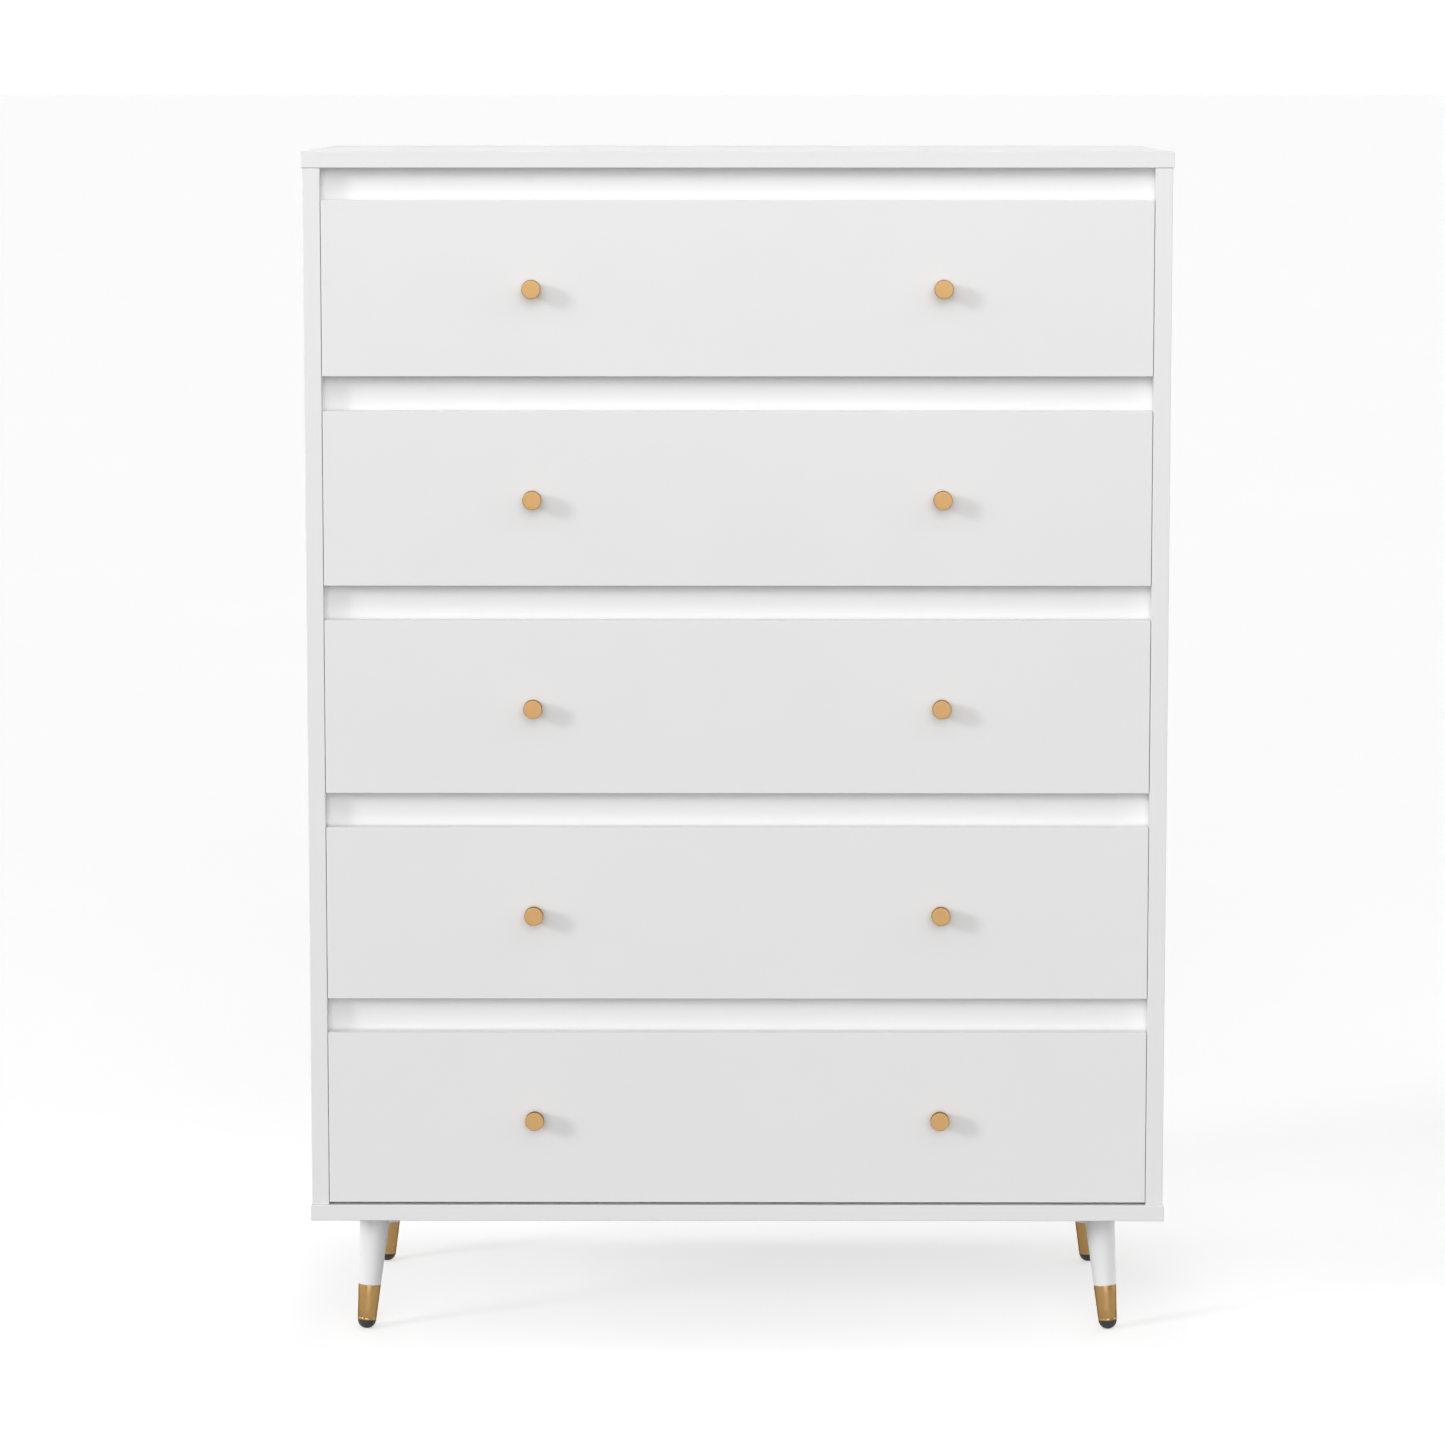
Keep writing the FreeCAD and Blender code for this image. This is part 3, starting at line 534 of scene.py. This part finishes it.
def ferrule_profile(leg_height):
    """The section of a ferrule, from its lower rim up the outside and down the inside."""
    def cone(height):
        return LEG_TIP + (LEG_TOP - LEG_TIP) * height / leg_height

    low, high = cone(FERRULE_LOW), cone(FERRULE_HIGH)
    profile = [(low - FERRULE_WALL, FERRULE_LOW)]
    profile += arc((low - RIM_ROUND, FERRULE_LOW + RIM_ROUND), RIM_ROUND, -90, 0, 6)
    groove = FERRULE_LOW + RIM_HEIGHT
    profile += [
        (cone(groove - RIM_ROUND), groove - RIM_ROUND),
        (cone(groove) - GROOVE_DEPTH, groove - RIM_ROUND / 3),
        (cone(groove) - GROOVE_DEPTH, groove + RIM_ROUND / 3),
        (cone(groove + RIM_ROUND), groove + RIM_ROUND),
    ]
    for part in (0.33, 0.67):
        height = groove + (FERRULE_HIGH - groove) * part
        profile.append((cone(height), height))
    profile += arc((high - RIM_ROUND, FERRULE_HIGH - RIM_ROUND), RIM_ROUND, 0, 90, 6)
    profile.append((high - FERRULE_WALL, FERRULE_HIGH))
    return profile


for drawer in DRAWERS:
    add_knobs(drawer)
    add_slide_details(drawer)
    add_cam_faces(drawer)
add_ferrules()

# ---------------------------------------------------------------- floor, light and camera

FLOOR_REACH = 300.0             # from the chest to the floor's edges
FLOOR_GLOW = 0.43
AIM = Vector((0.0, 0.0, 0.55))  # where the lamps point
SKY_FULL = 4.0                  # the strength of a full white in the sky's ramps
# height from -1, straight down, to 1, straight up; strength in front; strength behind
SKY_BANDS = (
    (-0.06, 0.08, 0.08),
    (0.0, 0.4, 3.9),
    (0.3, 0.4, 3.9),
    (0.45, 0.54, 0.0),
    (0.7, 0.54, 0.0),
    (0.85, 0.0, 0.0),
)
CAMERA_PLACE = (0.00399, -5.01944, 1.18424)
CAMERA_DOWN = 7.0485            # degrees below level
CAMERA_TURN = 0.2108            # degrees
CAMERA_LENS = 130.76            # for a sensor 36 wide
CAMERA_SENSOR = 36.0


def add_floor():
    """A pale floor, evenly lit, that reaches past the camera's view."""
    shape = bmesh.new()
    corners = []
    for x, y in ((-1, -1), (1, -1), (1, 1), (-1, 1)):
        corners.append(shape.verts.new((x * FLOOR_REACH, y * FLOOR_REACH, 0)))
    shape.faces.new(corners)
    mesh = bpy.data.meshes.new("floor")
    shape.to_mesh(mesh)
    shape.free()
    material, tree, shader = new_material("studio_floor", 0.9, specular=0.0)
    where = place_in_object(tree)
    cloud = ranged(tree, noise(tree, where, 1.5), 0.0, 1.0)
    pale = blended(tree, cloud, (0.90, 0.90, 0.90), (0.92, 0.92, 0.92))
    tree.links.new(pale, shader.inputs["Base Color"])
    shader.inputs["Emission Color"].default_value = (1.0, 1.0, 1.0, 1.0)
    shader.inputs["Emission Strength"].default_value = FLOOR_GLOW
    mesh.materials.append(material)
    floor = bpy.data.objects.new("floor", mesh)
    floor.visible_diffuse = False
    floor.visible_shadow = False
    bpy.context.scene.collection.objects.link(floor)


def facing(name, light, direction):
    """Hang a lamp in a direction from the chest, and turn it to face the chest."""
    lamp = bpy.data.objects.new(name, light)
    away = Vector(direction)
    lamp.location = AIM + away
    lamp.rotation_euler = away.to_track_quat("Z", "Y").to_euler()
    bpy.context.scene.collection.objects.link(lamp)


def add_far_light(name, direction, spread, strength):
    """A large light far away, as many degrees across as its spread."""
    light = bpy.data.lights.new(name, "SUN")
    light.angle = math.radians(spread)
    light.energy = strength
    facing(name, light, direction)


def add_softbox(name, direction, width, height, power):
    light = bpy.data.lights.new(name, "AREA")
    light.shape = "RECTANGLE"
    light.size = width
    light.size_y = height
    light.energy = power
    facing(name, light, direction)


def add_sky():
    """Studio walls and ceiling: bands of light by height, in front of the chest and behind it."""
    world = bpy.data.worlds.new("studio")
    world.use_nodes = True
    tree = world.node_tree
    coordinates = tree.nodes.new("ShaderNodeTexCoord")
    axes = add_node(tree, "ShaderNodeSeparateXYZ", {"Vector": coordinates.outputs["Generated"]})
    height = add_node(tree, "ShaderNodeMapRange", {"Value": axes.outputs["Z"], "From Min": -1.0})
    sides = []
    for column in (1, 2):
        ramp = add_node(tree, "ShaderNodeValToRGB", {"Fac": height.outputs["Result"]})
        ramp.color_ramp.interpolation = "EASE"
        stops = ramp.color_ramp.elements
        stops.remove(stops[0])
        for band in SKY_BANDS:
            stop = stops.new((band[0] + 1) / 2)
            stop.color = (band[column] / SKY_FULL,) * 3 + (1.0,)
        stops.remove(stops[-1])
        sides.append(ramp.outputs["Color"])
    rearward = add_node(tree, "ShaderNodeMapRange",
                        {"Value": axes.outputs["Y"], "From Min": -0.3, "From Max": 0.3},
                        interpolation_type="SMOOTHSTEP")
    mixer = add_node(tree, "ShaderNodeMix", {}, data_type="RGBA")
    tree.links.new(rearward.outputs["Result"], mixer.inputs[0])
    tree.links.new(sides[0], mixer.inputs[6])
    tree.links.new(sides[1], mixer.inputs[7])
    background = tree.nodes["Background"]
    tree.links.new(mixer.outputs[2], background.inputs["Color"])
    background.inputs["Strength"].default_value = SKY_FULL
    bpy.context.scene.world = world


def add_camera():
    """A long lens, a little above the top, as the chest is seen in a catalogue."""
    data = bpy.data.cameras.new("camera")
    data.sensor_width = CAMERA_SENSOR
    data.lens = CAMERA_LENS
    data.clip_start = 0.1
    data.clip_end = 1000.0
    camera = bpy.data.objects.new("camera", data)
    camera.location = CAMERA_PLACE
    camera.rotation_euler = (math.radians(90.0 - CAMERA_DOWN), 0.0, math.radians(CAMERA_TURN))
    bpy.context.scene.collection.objects.link(camera)
    bpy.context.scene.camera = camera


add_floor()
add_far_light("key", (-1.5, -1.0, 0.55), 12.0, 0.70)
add_far_light("key_spill", (-1.5, -1.0, 0.55), 35.0, 0.15)
add_far_light("front_low", (0.0, -1.0, 0.2), 40.0, 1.23)
add_softbox("front_top", (0.0, -2.08, 1.87), 1.5, 1.5, 2.7)
add_softbox("over_the_top", (0.0, -0.7, 1.0), 3.0, 0.5, 2.2)
add_sky()
add_camera()
bpy.context.scene.view_settings.view_transform = "Standard"
